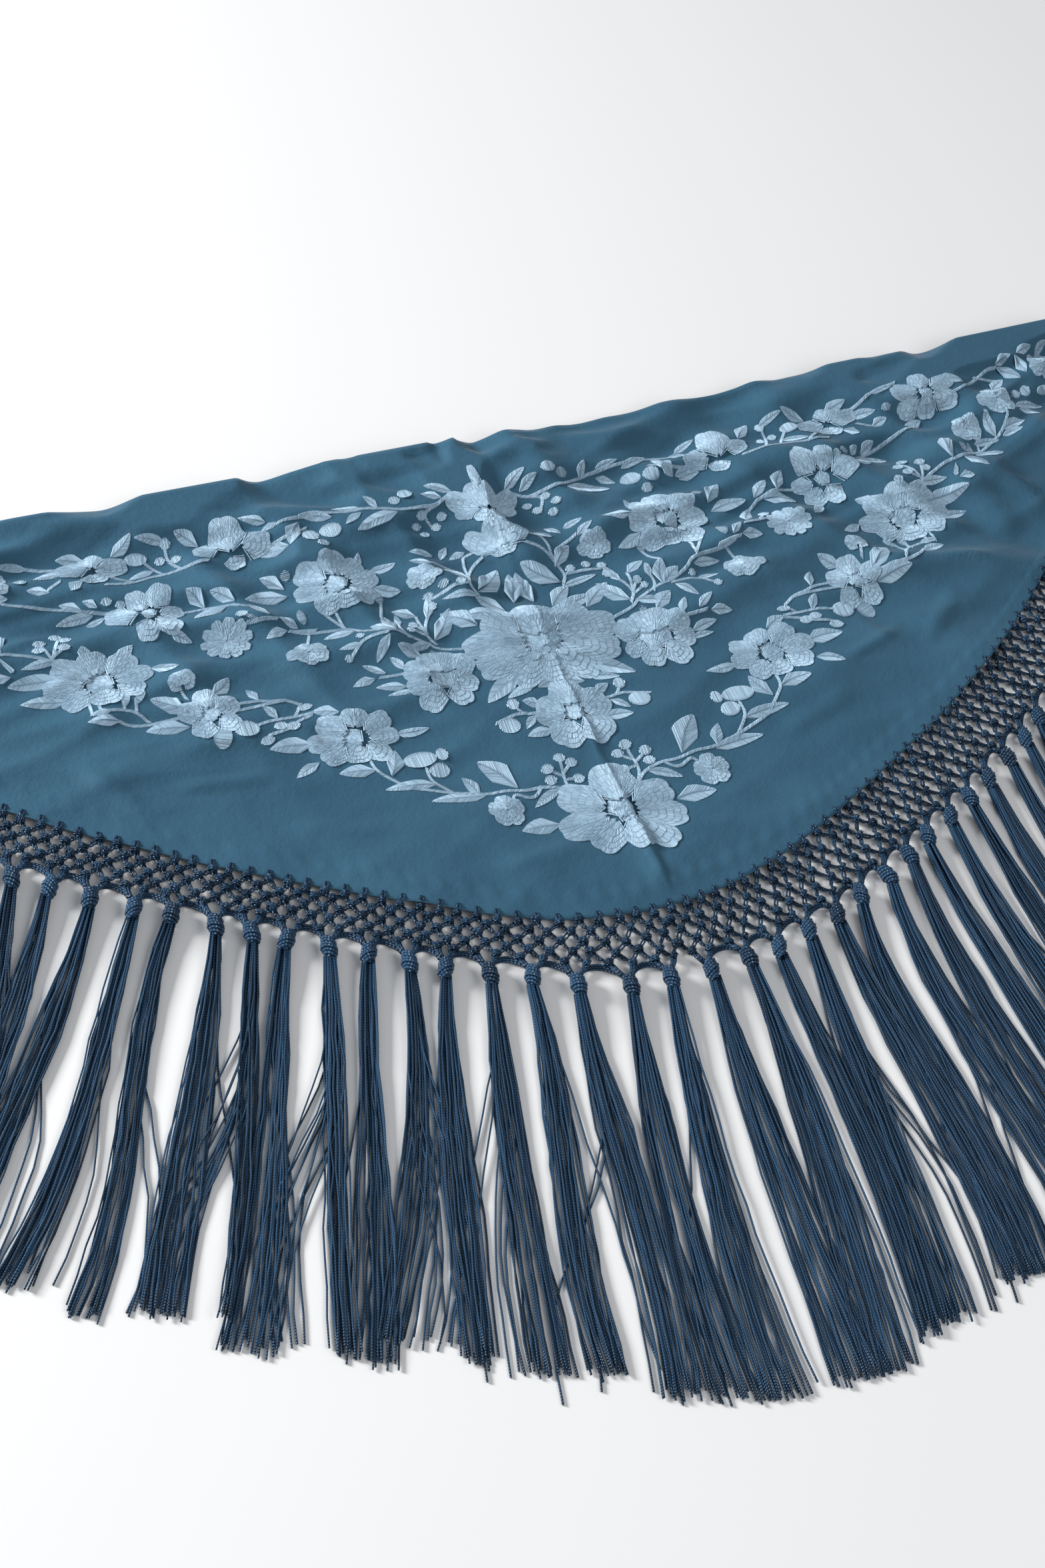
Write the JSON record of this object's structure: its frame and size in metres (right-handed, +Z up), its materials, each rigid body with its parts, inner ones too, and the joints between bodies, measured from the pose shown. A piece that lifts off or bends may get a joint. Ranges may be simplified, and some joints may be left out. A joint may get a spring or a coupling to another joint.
{
  "type": "flamenco shawl",
  "caption": "Triangular flamenco shawl laid flat, embroidered crepe with a knotted net border and a long tassel fringe on its two short sides.",
  "frame": {"origin": "on the surface that the shawl lies on, under the middle of its whole box, fringe included", "axes": "+X along the long edge, +Y towards the long edge from the point, +Z up"},
  "size_m": [1.0182, 0.5334, 0.0105],
  "materials": {
    "crepe": "fine petrol blue crepe with a soft sheen",
    "embroidery": "pale steel blue silk satin stitch",
    "net_thread": "dark blue twisted thread, knotted",
    "tassel_thread": "dark blue twisted thread with a silky shine"
  },
  "bodies": {
    "root": {"cloth": "crepe", "net_left": "net_thread", "net_right": "net_thread", "fringe_left_1": "tassel_thread", "fringe_left_2": "tassel_thread", "fringe_left_3": "tassel_thread", "fringe_left_4": "tassel_thread", "fringe_left_5": "tassel_thread", "fringe_left_6": "tassel_thread", "fringe_right_1": "tassel_thread", "fringe_right_2": "tassel_thread", "fringe_right_3": "tassel_thread", "fringe_right_4": "tassel_thread", "fringe_right_5": "tassel_thread", "fringe_right_6": "tassel_thread"}
  },
  "joints": []
}
